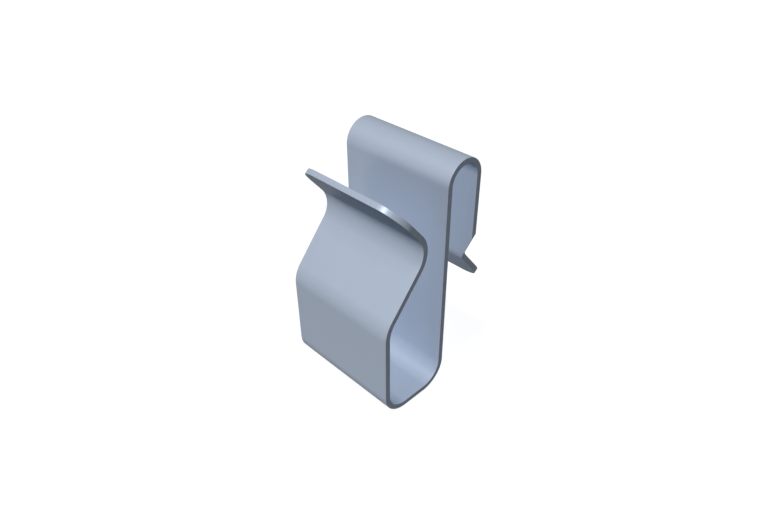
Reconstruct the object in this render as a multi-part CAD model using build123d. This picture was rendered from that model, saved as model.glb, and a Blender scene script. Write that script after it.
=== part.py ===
from build123d import *
import math
import os

# Wire retainer clip: one strip of spring steel, blanked with shaped ends and folded six times.
# A hairpin at the top grips the edge of a panel. In front of its wall an open trough holds the
# wires, which are pushed in past a narrow neck between the wall and the lip.
# Millimetres. X runs along the strip's width, +Z points up, and the wires lie in front, at -Y.
# The origin is on the hairpin's bend axis, halfway across the gap that takes the panel.

# Strip
strip_width = 12.7
strip_thickness = 0.56
edge_break = 0.04

# Hairpin over the panel's edge
panel_gap = 3.28
wall_flat = 19.47
back_leg_flat = 8.72

# Trough for the wires, open sizes between its faces
trough_depth = 6.87
front_flat = 6.97
floor_bend_radius = 2.12

# Leaning leg that closes the trough to a neck at the wall
lean_angle = 40.0
neck_gap = 2.28
shoulder_bend_radius = 2.57
neck_bend_radius = 2.34

# Lip that leads the wires in
lip_angle = 39.7
lip_flat = 4.4
lip_corner_radius = 2.5

# Tongue that leads the panel in
tongue_angle = 39.4
tongue_flat = 5.62
tongue_bend_radius = 0.92
tongue_corner_radius = 2.9

# The strip narrows on both sides on its way to the tongue
tongue_side_cut = 1.12
narrowing_angle = 28.5

# Radii are to the inside face of each bend, and the strip's middle runs half its thickness out
half_thickness = strip_thickness / 2
hairpin_radius = panel_gap / 2 + half_thickness

# Flats that follow from the open sizes
floor_flat = trough_depth - 2 * floor_bend_radius
lean_bends = shoulder_bend_radius + neck_bend_radius + strip_thickness
lean_bends_reach = lean_bends * (1 - math.cos(math.radians(lean_angle)))
lean_reach = trough_depth - neck_gap - lean_bends_reach
lean_flat = lean_reach / math.sin(math.radians(lean_angle))


def folded_run(start, heading, folds, end_flat):
    """Flats joined by tangent bends along the strip's middle.

    Each fold is (flat before the bend, inside radius, turn in degrees, left turns positive).
    """
    run = []
    for flat, inside_radius, turn in folds:
        leg = PolarLine(start, flat, heading)
        bend = JernArc(leg @ 1, leg % 1, inside_radius + half_thickness, turn)
        run += [leg, bend]
        start = bend @ 1
        heading += turn
    run.append(PolarLine(start, end_flat, heading))
    return run


def end_plane(run):
    """The plane of a run's last flat: origin at its tip, +Y out of the tip, X along the width."""
    tip = Plane.YZ.from_local_coords(run[-1] @ 1)
    outward = Plane.YZ.from_local_coords(run[-1] % 1)
    across = Vector(1, 0, 0)
    return Plane(origin=tip, x_dir=across, z_dir=across.cross(outward))


def end_waste(side_cut, straight, slope, corner_radius):
    """What the blanking die removes round a strip end, drawn flat with the tip at the origin.

    The end is straight as far back as its length straight, then widens over the length slope.
    """
    half_strip = strip_width / 2
    half_end = half_strip - side_cut
    shoulder = straight + slope
    margin = strip_thickness
    outline = Polyline(
        (-half_strip, -shoulder),
        (-half_end, -straight),
        (-half_end, 0),
        (half_end, 0),
        (half_end, -straight),
        (half_strip, -shoulder),
        close=True,
    )
    kept = make_face(outline)
    kept = fillet(kept.vertices().group_by(Axis.Y)[-1], corner_radius)
    sheet = Rectangle(strip_width + 2 * margin, shoulder + margin)
    return Pos(0, (margin - shoulder) / 2) * sheet - kept


# Strip's middle line, from the hairpin down the wall to the lip, and down the back leg
front_run = folded_run(
    (-hairpin_radius, 0),
    -90,
    [
        (wall_flat, floor_bend_radius, -90),
        (floor_flat, floor_bend_radius, -90),
        (front_flat, shoulder_bend_radius, -lean_angle),
        (lean_flat, neck_bend_radius, lean_angle + lip_angle),
    ],
    lip_flat,
)
back_run = folded_run(
    (hairpin_radius, 0),
    -90,
    [(back_leg_flat, tongue_bend_radius, tongue_angle)],
    tongue_flat,
)
hairpin = ThreePointArc((-hairpin_radius, 0), (0, hairpin_radius), (hairpin_radius, 0))

# Folded strip at its full width
section = trace(Curve() + [hairpin, *front_run, *back_run], strip_thickness)
clip = extrude(Plane.YZ * section, strip_width / 2, both=True)

# Lip end, as wide as the strip, with its two corners rounded
lip_edge_face = clip.faces().sort_by_distance(end_plane(front_run).origin)[0]
lip_corners = lip_edge_face.edges().filter_by(Axis.X, reverse=True)
clip = fillet(lip_corners, lip_corner_radius)

# Tongue end, cut square to the tongue. Its sides slope out from the middle of the bend upwards,
# so the die also passes through the back leg, which stands off the tongue's plane there.
tongue_turn = math.radians(tongue_angle)
tongue_bend_half = (tongue_bend_radius + half_thickness) * math.tan(tongue_turn / 2)
tongue_straight = tongue_flat + tongue_bend_half
tongue_slope = tongue_side_cut / math.tan(math.radians(narrowing_angle))
tongue_waste = end_waste(tongue_side_cut, tongue_straight, tongue_slope, tongue_corner_radius)

# The die passes right through the strip, on the wall's side as far as the sloping part stands
leg_reach = tongue_slope * math.tan(tongue_turn) + strip_thickness / math.cos(tongue_turn)
tongue_die = extrude(
    end_plane(back_run).offset(-strip_thickness) * tongue_waste,
    strip_thickness + leg_reach,
)
clip -= tongue_die

# Broken edges
clip = fillet(clip.edges(), edge_break)

os.makedirs("parts", exist_ok=True)
export_step(clip, "parts/clip.step")

box = clip.bounding_box()
print("size", round(box.size.X, 2), round(box.size.Y, 2), round(box.size.Z, 2))
print("lean flat", round(lean_flat, 3), "floor flat", round(floor_flat, 3))
print("volume", round(clip.volume, 2))
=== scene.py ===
# %% [markdown]
# A wire retainer clip, dressed for its picture
#
# The clip is one strip of spring steel, blanked with shaped ends and then folded. A hairpin at
# the top grips a panel's edge, and an open trough in front of it holds wires. The solid model
# comes from a frame that is already made. This script builds a finer surface for the same strip,
# gives it its finish, and sets up a camera, a floor and lamps. Every length is in metres, in the
# frame's own axes: X along the strip's width, +Z up, and the wires in front, at -Y.

import math

import bpy
import numpy as np
from mathutils import Matrix, Vector


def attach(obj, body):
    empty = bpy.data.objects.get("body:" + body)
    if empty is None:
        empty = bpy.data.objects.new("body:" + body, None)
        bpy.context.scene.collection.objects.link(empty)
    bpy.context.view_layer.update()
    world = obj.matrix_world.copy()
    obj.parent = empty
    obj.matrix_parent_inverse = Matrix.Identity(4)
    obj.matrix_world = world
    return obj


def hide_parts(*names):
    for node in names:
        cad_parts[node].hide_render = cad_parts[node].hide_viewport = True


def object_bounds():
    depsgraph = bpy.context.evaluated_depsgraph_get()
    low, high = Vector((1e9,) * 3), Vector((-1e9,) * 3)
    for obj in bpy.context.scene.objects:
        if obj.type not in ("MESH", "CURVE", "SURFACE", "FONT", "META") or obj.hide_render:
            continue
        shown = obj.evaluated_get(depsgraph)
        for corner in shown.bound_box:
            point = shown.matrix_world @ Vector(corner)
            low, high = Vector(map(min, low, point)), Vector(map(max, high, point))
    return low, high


MM = 0.001

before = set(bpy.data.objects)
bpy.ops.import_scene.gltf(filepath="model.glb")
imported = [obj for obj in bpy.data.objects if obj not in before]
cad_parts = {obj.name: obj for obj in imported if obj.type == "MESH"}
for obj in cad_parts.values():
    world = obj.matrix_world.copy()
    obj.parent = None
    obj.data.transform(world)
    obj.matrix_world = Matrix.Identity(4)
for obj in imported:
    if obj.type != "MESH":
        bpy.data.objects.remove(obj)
cad_low, cad_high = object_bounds()
print("solid model spans, in mm:", [round(v / MM, 2) for v in cad_high - cad_low])

# %% [markdown]
# The camera comes first, because the picture decides what has to look right. It stands to the
# right of the trough and looks down at the clip, turned 45 degrees and raised so that the three
# axes are seen alike. The lens is fairly wide and close, so the near edges spread a little.
# A camera looks along its own -Z, so its turn is a matrix whose columns are right, up and back.

# %% Camera
camera_azimuth = math.radians(45)
camera_elevation = math.atan(math.sqrt(0.5))
camera_distance = 63.33 * MM
camera_target = Vector((0, -2.744, -9.977)) * MM


def look_from(azimuth, elevation):
    """Unit vector from the target towards the viewer. Azimuth 0 stands at -Y, 90 at +X."""
    level = math.cos(elevation)
    return Vector((math.sin(azimuth) * level, -math.cos(azimuth) * level, math.sin(elevation)))


back = look_from(camera_azimuth, camera_elevation)
right = Vector((0, 0, 1)).cross(back).normalized()
up = back.cross(right)
camera_turn = Matrix((right, up, back)).transposed().to_4x4()

camera = bpy.data.objects.new("camera", bpy.data.cameras.new("camera"))
bpy.context.scene.collection.objects.link(camera)
camera.matrix_world = Matrix.Translation(camera_target + back * camera_distance) @ camera_turn
camera.data.lens = 30.0
camera.data.sensor_width = 36.0
camera.data.clip_start = 1 * MM
camera.data.clip_end = 10
bpy.context.scene.camera = camera
print("camera at, in mm:", [round(v / MM, 1) for v in camera.location])

# %% [markdown]
# The strip's sizes are those of the solid model. A bend's radius is to its inside face, as a
# toolmaker gives it. The edges are broken by a small round all the way along, which is what
# makes a thin rim of light on a real clip.

# %% Strip and fold sizes
strip_width = 12.7 * MM
strip_thickness = 0.56 * MM
edge_break = 0.04 * MM
half_thickness = strip_thickness / 2

lip_flat = 4.4 * MM
neck_radius = 2.34 * MM
lip_angle = 39.7
lean_angle = 40.0
shoulder_radius = 2.57 * MM
front_flat = 6.97 * MM
floor_radius = 2.12 * MM
trough_depth = 6.87 * MM
neck_gap = 2.28 * MM
wall_flat = 19.47 * MM
panel_gap = 3.28 * MM
back_leg_flat = 8.72 * MM
tongue_radius = 0.92 * MM
tongue_angle = 39.4
tongue_flat = 5.62 * MM

floor_flat = trough_depth - 2 * floor_radius
lean_turn = math.radians(lean_angle)
bends_reach = (shoulder_radius + neck_radius + strip_thickness) * (1 - math.cos(lean_turn))
lean_flat = (trough_depth - neck_gap - bends_reach) / math.sin(lean_turn)

# %% [markdown]
# The strip's middle line is a chain of flats and round bends, from the lip's tip to the tongue's
# tip. Each is one row: its length, its curvature (nought on a flat) and where it starts. A point
# part of the way along is then one chord away from its row's start, so the whole line can be
# worked out at once for any array of distances.

# %% Middle line of the strip
folds = [
    (lip_flat, neck_radius, -(lip_angle + lean_angle)),
    (lean_flat, shoulder_radius, lean_angle),
    (front_flat, floor_radius, 90),
    (floor_flat, floor_radius, 90),
    (wall_flat, panel_gap / 2, -180),
    (back_leg_flat, tongue_radius, tongue_angle),
]

# Each fold makes two rows, its flat and its bend, and the hairpin is the fifth fold
HAIRPIN = 9


def chord(length, curvature, heading):
    """From the start of an arc to the point `length` along it.

    With a as half the turn, it is length * sin(a) / a in the direction heading + a.
    """
    half_turn = curvature * length / 2
    span = length * np.sinc(half_turn / np.pi)
    return np.stack([span * np.cos(heading + half_turn), span * np.sin(heading + half_turn)], -1)


lengths = []
curvatures = []
for flat, inside_radius, turn in folds:
    turn = math.radians(turn)
    middle_radius = inside_radius + half_thickness
    lengths += [flat, middle_radius * abs(turn)]
    curvatures += [0.0, math.copysign(1 / middle_radius, turn)]
lengths = np.array(lengths + [tongue_flat])
curvatures = np.array(curvatures + [0.0])
starts = np.concatenate([[0.0], np.cumsum(lengths)[:-1]])
strip_length = lengths.sum()

turned = np.cumsum(curvatures * lengths)
headings = np.radians(lip_angle - 90) + np.concatenate([[0.0], turned[:-1]])
moves = chord(lengths, curvatures, headings)
corners = np.concatenate([[[0.0, 0.0]], np.cumsum(moves, 0)[:-1]])
hairpin_out = np.array([-np.sin(headings[HAIRPIN]), np.cos(headings[HAIRPIN])])
hairpin_centre = corners[HAIRPIN] + hairpin_out / curvatures[HAIRPIN]
corners -= hairpin_centre


def middle_line(s):
    """Middle line at distances s from the lip's tip: points, headings' directions and normals.

    All in the YZ plane. The normal is on the left of the direction, which is the trough's inside.
    """
    row = np.clip(np.searchsorted(starts, s, "right") - 1, 0, len(starts) - 1)
    along = s - starts[row]
    heading = headings[row] + curvatures[row] * along
    points = corners[row] + chord(along, curvatures[row], headings[row])
    direction = np.stack([np.cos(heading), np.sin(heading)], -1)
    normal = np.stack([-np.sin(heading), np.cos(heading)], -1)
    return points, direction, normal


print("strip is", round(strip_length / MM, 2), "mm long before folding")

# %% [markdown]
# Both ends of the blank have rounded corners, and the tongue's end is also narrower than the
# strip. Seen from its tip, an end is a corner arc, then a straight side, then a slope out to the
# full width, which has no length at the lip. The half width is written as one formula, inset by
# the edge break, so that the rim can be wrapped round it. The tongue is cut square to itself
# after it is bent, and its slope lies on the back leg, so the distance from the tip is measured
# along the tongue's own plane and not round the bend.

# %% Outline of the strip's ends
narrowing_angle = math.radians(28.5)
tongue_bend_half = (tongue_radius + half_thickness) * math.tan(math.radians(tongue_angle) / 2)
lip_end = {"side_cut": 0.0, "straight": lip_flat, "corner": 2.5 * MM}
tongue_end = {
    "side_cut": 1.12 * MM,
    "straight": tongue_flat + tongue_bend_half,
    "corner": 2.9 * MM,
}

# Nearer to a tip than this, a distance is measured along the end's own plane
fold_reach = 10 * MM


def half_width(u, end):
    """Half width at distance u from an end's tip, and its outward normal (to the tip, across).

    Slope: half the end's width plus (u - straight) * tan(angle), kept between end and strip.
    Corner: an arc of the inset radius about a centre one corner radius from tip and side.
    """
    half_end = strip_width / 2 - end["side_cut"]
    inset_radius = end["corner"] - edge_break
    slope_start = half_end - edge_break / np.cos(narrowing_angle)
    slope = slope_start + (u - end["straight"]) * np.tan(narrowing_angle)
    width = np.clip(slope, half_end - edge_break, strip_width / 2 - edge_break)
    sloping = (slope > half_end - edge_break) & (slope < strip_width / 2 - edge_break)
    to_tip = np.where(sloping, np.sin(narrowing_angle), 0.0)
    in_corner = np.clip(end["corner"] - u, 0.0, inset_radius)
    sagitta = inset_radius - np.sqrt(inset_radius**2 - in_corner**2)
    to_tip = np.where(in_corner > 0, in_corner / inset_radius, to_tip)
    return width - sagitta, to_tip, np.sqrt(1 - to_tip**2)


def distance_to_tip(s, h, tip_s):
    """How far a point at (s, h) is from a tip, along that end's own plane.

    Past the end's own fold, where the strip turns away, it is the length along the strip.
    """
    tip, tip_direction, _ = middle_line(np.array([tip_s]))
    points, _, normal = middle_line(s)
    inward = -np.sign(tip_s - strip_length / 2) * tip_direction
    straight_down = np.sum((points + h[..., None] * normal - tip) * inward, -1)
    along = np.abs(s - tip_s)
    return np.where(along < fold_reach, straight_down, along)


def outline(s, h):
    """Half width and outward normal (along +s, across) of the blank at (s, h), from both ends."""
    to_lip = distance_to_tip(s, h, 0.0)
    to_tongue = distance_to_tip(s, h, strip_length)
    lip_width, lip_out, lip_across = half_width(to_lip, lip_end)
    tongue_width, tongue_out, tongue_across = half_width(to_tongue, tongue_end)
    at_lip = s < strip_length / 2
    width = np.where(at_lip, lip_width, tongue_width)
    along = np.where(at_lip, -lip_out, tongue_out)
    across = np.where(at_lip, lip_across, tongue_across)
    return width, along, across


# %% [markdown]
# Stations are the places along the strip where a row of points is laid. Bends need one every two
# degrees to look round in a close view, flats need few, and the rounded corners need them spaced
# by angle. The steps are worked out for each row of the middle line and then put together.

# %% Stations along the strip
bend_step = math.radians(2.0)
flat_step = 0.6 * MM
slope_step = 0.08 * MM
slope_reach = 5 * MM
corner_steps = 20

# Stations that agree to this many decimals of a metre are one, and a limit gives way by the slack
station_decimals = 7
slack = 1e-9


def corner_stations(end):
    """Distances from the tip at equal angles round an inset corner.

    Each is the corner's radius less the inset radius times the sine of the angle.
    """
    angle = np.linspace(0, np.pi / 2, corner_steps + 1)
    return end["corner"] - (end["corner"] - edge_break) * np.sin(angle)


steps = np.where(curvatures == 0, lengths / flat_step, np.abs(curvatures) * lengths / bend_step)
rows = [a + np.linspace(0, b, int(np.ceil(n)) + 1) for a, b, n in zip(starts, lengths, steps)]
tongue_slope_end = tongue_end["straight"] + slope_reach
slope_rows = strip_length - np.arange(tongue_flat, tongue_slope_end, slope_step)
ends = [corner_stations(lip_end), strip_length - corner_stations(tongue_end)]
stations = np.unique(np.round(np.concatenate(rows + ends + [slope_rows]), station_decimals))
past_lip = stations >= edge_break - slack
before_tongue = stations <= strip_length - edge_break + slack
stations = stations[past_lip & before_tongue]
print(len(stations), "stations along the strip")

# %% [markdown]
# The rim is the sheared edge of the strip. Its profile runs from the upper face over a quarter
# round, down the wall of the cut and round again to the lower face. Carried once round the
# outline of the blank, it closes the gap between the two faces.

# %% Profile of the rim
round_steps = 4
wall_steps = 6

arc = np.linspace(0, np.pi / 2, round_steps + 1)
wall_height = half_thickness - edge_break
round_out = edge_break * np.sin(arc)
round_height = wall_height + edge_break * np.cos(arc)
wall = np.linspace(wall_height, -wall_height, wall_steps + 1)[1:-1]
rim_out = np.concatenate([round_out, np.full(len(wall), edge_break), round_out[::-1]])
rim_height = np.concatenate([round_height, wall, -round_height[::-1]])

# %% [markdown]
# Now the surface itself. It is first laid out flat, as distance along, distance across and
# height above the middle, and then folded by one formula. The two faces are grids, and their
# outer rows are the first and last lines of the rim, so the three surfaces share their points
# and the whole is closed. The flat places are kept as an attribute, so that the rolling marks of
# the finish can follow the folds.

# %% Points of the folded strip
columns = 33
last = len(stations) - 1
share = np.linspace(-1, 1, columns)


def fold(blank):
    """A blank place (along, across, height) folded.

    It is the middle line's point plus the height times the normal there.
    """
    points, _, normal = middle_line(blank[..., 0])
    place = points + blank[..., 2:] * normal
    return np.concatenate([blank[..., 1:2], place], -1)


def face_rows(height):
    """A face's grid on the blank: across is the share of the inset half width at each station."""
    level = np.full(len(stations), height)
    width = outline(stations, level)[0]
    along = np.broadcast_to(stations[:, None], (len(stations), columns))
    return np.stack([along, width[:, None] * share, np.full_like(along, height)], -1)


def rim_side(side):
    """The rim along one side: each station moved out along the outline's normal by the profile."""
    s = np.broadcast_to(stations[:, None], (len(stations), len(rim_out)))
    height = np.broadcast_to(rim_height, s.shape)
    width = outline(s, height)[0]
    _, along, across = outline(stations, np.zeros(len(stations)))
    x = width + rim_out * across[:, None]
    return np.stack([s + rim_out * along[:, None], side * x, height], -1)


def rim_tip(row, outwards):
    """The rim across a tip, whose points move straight out along the strip."""
    x = np.broadcast_to(row[1:-1, 1:2], (columns - 2, len(rim_out)))
    s = row[1:-1, 0:1] + outwards * rim_out
    return np.stack([s, x, np.broadcast_to(rim_height, x.shape)], -1)


upper = face_rows(half_thickness)
lower = face_rows(-half_thickness)
rim = np.concatenate([
    rim_side(1),
    rim_tip(upper[last][::-1], 1),
    rim_side(-1)[::-1],
    rim_tip(upper[0], -1),
])
print("rim has", rim.shape[0], "places round the outline, each of", rim.shape[1], "points")

# %% [markdown]
# Smooth shading guesses each normal from the faces round a point, and beside a very small round
# that guess tilts the wide flat faces. The true normals are known here, so they are worked out
# and given to the mesh: the strip's own normal on the faces, and on the rim a turn from it to
# the wall's normal, which is the cross product of the way round and the way down.

# %% Normals of the folded strip
def unit(v):
    return v / np.linalg.norm(v, axis=-1, keepdims=True)


def face_normals(rows, sign):
    """The strip's normal at each point of a face, in the YZ plane."""
    normal = sign * middle_line(rows[..., 0])[2]
    return np.concatenate([np.zeros(normal.shape[:-1] + (1,)), normal], -1)


rim_points = fold(rim)
way_round = np.roll(rim_points, -1, 0) - np.roll(rim_points, 1, 0)
middle_row = len(rim_out) // 2
way_down = rim_points[:, -1 - round_steps] - rim_points[:, round_steps]
wall_normal = unit(np.cross(way_down, way_round[:, middle_row]))
lean_out = rim_out / edge_break
lean_up = np.sign(rim_height) * np.sqrt(1 - lean_out**2)
rim_normals = unit(
    lean_out[:, None] * wall_normal[:, None, :] + lean_up[:, None] * face_normals(rim, 1)
)

# %% [markdown]
# The three surfaces go into one mesh. A table of point numbers is made for each, and quads join
# neighbouring rows and columns of a table. The inner part of a face has numbers of its own, and
# the border takes its numbers from the rim.

# %% Mesh of the folded strip
rim_count = rim.shape[0] * rim.shape[1]
inner_count = (len(stations) - 2) * (columns - 2)
rim_table = np.arange(rim_count).reshape(rim.shape[:2])


def face_table(rim_row, first):
    """Point numbers of a face: its border is one line of the rim, and its inside counts up."""
    n = len(stations)
    table = np.zeros((n, columns), int)
    inner = np.arange(first, first + inner_count)
    table[1:-1, 1:-1] = inner.reshape(n - 2, columns - 2)
    table[:, -1] = rim_row[:n]
    table[-1, 1:-1] = rim_row[n:n + columns - 2][::-1]
    table[:, 0] = rim_row[n + columns - 2:2 * n + columns - 2][::-1]
    table[0, 1:-1] = rim_row[2 * n + columns - 2:]
    return table


def quads(table):
    """Quads between neighbouring rows and columns of a table of point numbers."""
    corners_of = [table[:-1, :-1], table[1:, :-1], table[1:, 1:], table[:-1, 1:]]
    return np.stack(corners_of, -1).reshape(-1, 4)


upper_table = face_table(rim_table[:, 0], rim_count)
lower_table = face_table(rim_table[:, -1], rim_count + inner_count)
closed_rim = np.concatenate([rim_table, rim_table[:1]])
parts = [quads(upper_table), quads(lower_table)[:, ::-1], quads(closed_rim)]
faces = np.concatenate(parts)[:, ::-1]
inner = (slice(1, -1), slice(1, -1))
blank = np.concatenate([
    rim.reshape(-1, 3),
    upper[inner].reshape(-1, 3),
    lower[inner].reshape(-1, 3),
])
normals = np.concatenate([
    rim_normals.reshape(-1, 3),
    face_normals(upper, 1)[inner].reshape(-1, 3),
    face_normals(lower, -1)[inner].reshape(-1, 3),
])
cut_edge = np.zeros(len(blank))
cut_edge[:rim_count] = np.broadcast_to(lean_out, rim.shape[:2]).ravel()

mesh = bpy.data.meshes.new("clip_strip")
mesh.from_pydata(fold(blank).tolist(), [], faces.tolist())
blank_mm = mesh.attributes.new("blank_mm", "FLOAT_VECTOR", "POINT")
blank_mm.data.foreach_set("vector", (blank / MM).ravel())
on_cut = mesh.attributes.new("cut_edge", "FLOAT", "POINT")
on_cut.data.foreach_set("value", cut_edge)
mesh.shade_smooth()
mesh.normals_split_custom_set_from_vertices(normals.tolist())
mesh.update()

clip = bpy.data.objects.new("clip_strip", mesh)
bpy.context.scene.collection.objects.link(clip)
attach(clip, "root")
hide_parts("clip")
print("folded strip:", len(blank), "points,", len(faces), "quads")

# %% [markdown]
# Plated spring steel is a satin metal. What makes it look rolled and not painted is small: fine
# lines drawn out along the strip by the rolls, a faint unevenness in the plating, and a rim that
# was sheared, so it is streaked from face to face. Noise textures make all of these, read on the
# flat blank's own places and stretched in the direction of the work. The lines then follow every
# fold, as they do on the real strip. The rim is also a little darker, partly for its thin coat and
# partly as painted shade on the cut edges that face away from the lamps.
#
# A material is a tree of nodes. Four helpers keep the trees short: one adds a node and joins its
# sockets, one makes a stretched noise, one maps a value between two ends, and one multiplies.

# %% Node helpers
def node(tree, kind, inputs=None, **settings):
    """Adds a node, sets its properties, and gives its sockets values or links."""
    made = tree.nodes.new(kind)
    for name, value in settings.items():
        setattr(made, name, value)
    for name, value in (inputs or {}).items():
        socket = made.inputs[name]
        if isinstance(value, bpy.types.NodeSocket):
            tree.links.new(value, socket)
        else:
            socket.default_value = value
    return made


def stretched_noise(tree, place, per_mm, detail):
    """Noise from 0 to 1 on blank places, with its own number of waves per millimetre each way."""
    spread = node(tree, "ShaderNodeVectorMath", {0: place, 1: per_mm}, operation="MULTIPLY")
    noise = node(tree, "ShaderNodeTexNoise", {
        "Vector": spread.outputs[0],
        "Scale": 1.0,
        "Detail": detail,
    })
    return noise.outputs[0]


def between(tree, factor, low, high):
    """Maps a factor of 0 to 1 onto low to high."""
    mapped = node(tree, "ShaderNodeMapRange", {"Value": factor, "To Min": low, "To Max": high})
    return mapped.outputs[0]


def times(tree, first, second):
    """The product of two values."""
    return node(tree, "ShaderNodeMath", {0: first, 1: second}, operation="MULTIPLY").outputs[0]


# %% [markdown]
# The plating is a blue-grey, treated as a fairly rough coat with a little bare metal in it. Most
# of its light is scattered in the coat's own colour, and about a sixth comes back as a broad
# sheen. There is no clear skin over it, which would mirror the white floor at a glancing angle
# and turn the undersides pale. The rolling lines change the sheen as well as the colour. On the
# rim the coat is thin, and its streaks run through the thickness of the strip. The rim is made a
# little darker: partly for the thin coat, and partly as painted shade on the cut edges that face
# away from the lamps.

# %% Plated spring steel
plating = (0.43, 0.50, 0.61, 1.0)
bare_metal = 0.17
roughness = (0.34, 0.42)
face_tones = (0.98, 1.02)
rim_tones = (0.85, 1.15)
# Painted shade: this darkens the whole rim, partly for its thin coat and partly to stand in for the
# shade on the cut edges that face away from the lamps
rim_coat_and_painted_shade = 0.97

# Waves per millimetre along the strip, across it and through its thickness
rolled_waves = (0.12, 9.0, 2.0)
cloud_waves = (0.25, 0.4, 1.0)
sheared_waves = (6.0, 6.0, 0.6)

steel = bpy.data.materials.new("plated_spring_steel")
steel.use_nodes = True
tree = steel.node_tree
tree.nodes.clear()
place = node(tree, "ShaderNodeAttribute", attribute_name="blank_mm").outputs["Vector"]
on_rim = node(tree, "ShaderNodeAttribute", attribute_name="cut_edge").outputs["Fac"]

rolled = stretched_noise(tree, place, rolled_waves, 3.0)
clouds = stretched_noise(tree, place, cloud_waves, 2.0)
sheared = stretched_noise(tree, place, sheared_waves, 2.0)

face_light = times(tree, between(tree, rolled, *face_tones), between(tree, clouds, *face_tones))
# Painted shade: the rim's streaks, darkened partly for the thin coat and partly as painted shade
rim_light = times(tree, between(tree, sheared, *rim_tones), rim_coat_and_painted_shade)
lightness = node(tree, "ShaderNodeMix", {"Factor": on_rim, "A": face_light, "B": rim_light})
colour = node(
    tree,
    "ShaderNodeMix",
    {"Factor": 1.0, "A": plating, "B": lightness.outputs["Result"]},
    data_type="RGBA",
    blend_type="MULTIPLY",
)
shader = node(tree, "ShaderNodeBsdfPrincipled", {
    "Base Color": colour.outputs["Result"],
    "Metallic": bare_metal,
    "Roughness": between(tree, rolled, *roughness),
    "Specular IOR Level": 0.0,
})
node(tree, "ShaderNodeOutputMaterial", {"Surface": shader.outputs[0]})
mesh.materials.append(steel)

# %% [markdown]
# The clip stands on a white floor that runs out of the picture. White is the floor's own colour:
# it glows a little where the camera or a reflection sees it, and otherwise it is a dull surface
# that throws back hardly any light, so the undersides of the folds stay dark. The dull part is
# also seen, which lets the clip's shadow show.

# %% Floor
floor_size = 3.0
floor_shade = (0.9, 0.9, 0.9, 1.0)
floor_bounce = (0.03, 0.03, 0.03, 1.0)
floor_glow = 0.36
white_light = (1.0, 1.0, 1.0, 1.0)


def larger(tree, first, second):
    """The larger of two values."""
    return node(tree, "ShaderNodeMath", {0: first, 1: second}, operation="MAXIMUM").outputs[0]


def seen_by_eye_or_mirror(tree):
    """1 on rays that come from the camera or by way of a reflection or a see-through surface."""
    path = node(tree, "ShaderNodeLightPath").outputs
    eye_or_mirror = larger(tree, path["Is Camera Ray"], path["Is Glossy Ray"])
    return larger(tree, eye_or_mirror, path["Is Transmission Ray"])


half = floor_size / 2
square = [(-half, -half), (half, -half), (half, half), (-half, half)]
floor_mesh = bpy.data.meshes.new("floor")
floor_mesh.from_pydata([(x, y, cad_low.z) for x, y in square], [], [(0, 1, 2, 3)])
floor = bpy.data.objects.new("floor", floor_mesh)
bpy.context.scene.collection.objects.link(floor)

pale = bpy.data.materials.new("pale_floor")
pale.use_nodes = True
tree = pale.node_tree
tree.nodes.clear()
shade = node(tree, "ShaderNodeBsdfDiffuse", {"Color": floor_shade})
bounce = node(tree, "ShaderNodeBsdfDiffuse", {"Color": floor_bounce})
glow = node(tree, "ShaderNodeEmission", {"Color": white_light, "Strength": floor_glow})
white = node(tree, "ShaderNodeAddShader", {0: shade.outputs[0], 1: glow.outputs[0]})
mix = node(tree, "ShaderNodeMixShader", {
    0: seen_by_eye_or_mirror(tree),
    1: bounce.outputs[0],
    2: white.outputs[0],
})
node(tree, "ShaderNodeOutputMaterial", {"Surface": mix.outputs[0]})
floor_mesh.materials.append(pale)

# %% [markdown]
# The reference is a drawing, lit evenly, the insides of the folds as much as the outsides, with no
# shadow. Real lamps can't do that, so the strongest one, in front, casts no shadow and reaches into
# the trough. A weak one from higher up does cast a shadow, which sits under the clip on the floor.
# The third shines from behind and a little below the floor, and lights the faces that look back.
# All are far lamps, whose light falls evenly on a flat, and a level of 1 gives a white surface
# that faces the lamp its full white. Their levels were matched to the picture.

# %% Lamps
lamp_spread = math.radians(12)
lamps = [
    ("key", 0, 52, 0.81, False),
    ("top", 0, 72, 0.11, True),
    ("back", 180, -10, 0.22, False),
]
for name, azimuth, elevation, level, shadow in lamps:
    towards_lamp = look_from(math.radians(azimuth), math.radians(elevation))
    data = bpy.data.lights.new(name, "SUN")
    data.angle = lamp_spread
    data.energy = level * math.pi
    data.use_shadow = shadow
    lamp = bpy.data.objects.new(name, data)
    bpy.context.scene.collection.objects.link(lamp)
    lamp.location = camera_target + towards_lamp * camera_distance
    lamp.rotation_mode = "QUATERNION"
    lamp.rotation_quaternion = towards_lamp.to_track_quat("Z", "Y")
print(len(lamps), "lamps, levels add up to", round(sum(lamp[3] for lamp in lamps), 2))

# %% [markdown]
# The room round the clip is white too, again only to the eye and in reflections. Standard view
# keeps every colour as it is written.

# %% Surroundings
room_light = (0.02, 0.02, 0.02, 1.0)

world = bpy.data.worlds.new("studio")
bpy.context.scene.world = world
world.use_nodes = True
tree = world.node_tree
tree.nodes.clear()
soft = node(tree, "ShaderNodeBackground", {"Color": room_light})
white = node(tree, "ShaderNodeBackground", {"Color": white_light})
mix = node(tree, "ShaderNodeMixShader", {
    0: seen_by_eye_or_mirror(tree),
    1: soft.outputs[0],
    2: white.outputs[0],
})
node(tree, "ShaderNodeOutputWorld", {"Surface": mix.outputs[0]})

bpy.context.scene.view_settings.view_transform = "Standard"
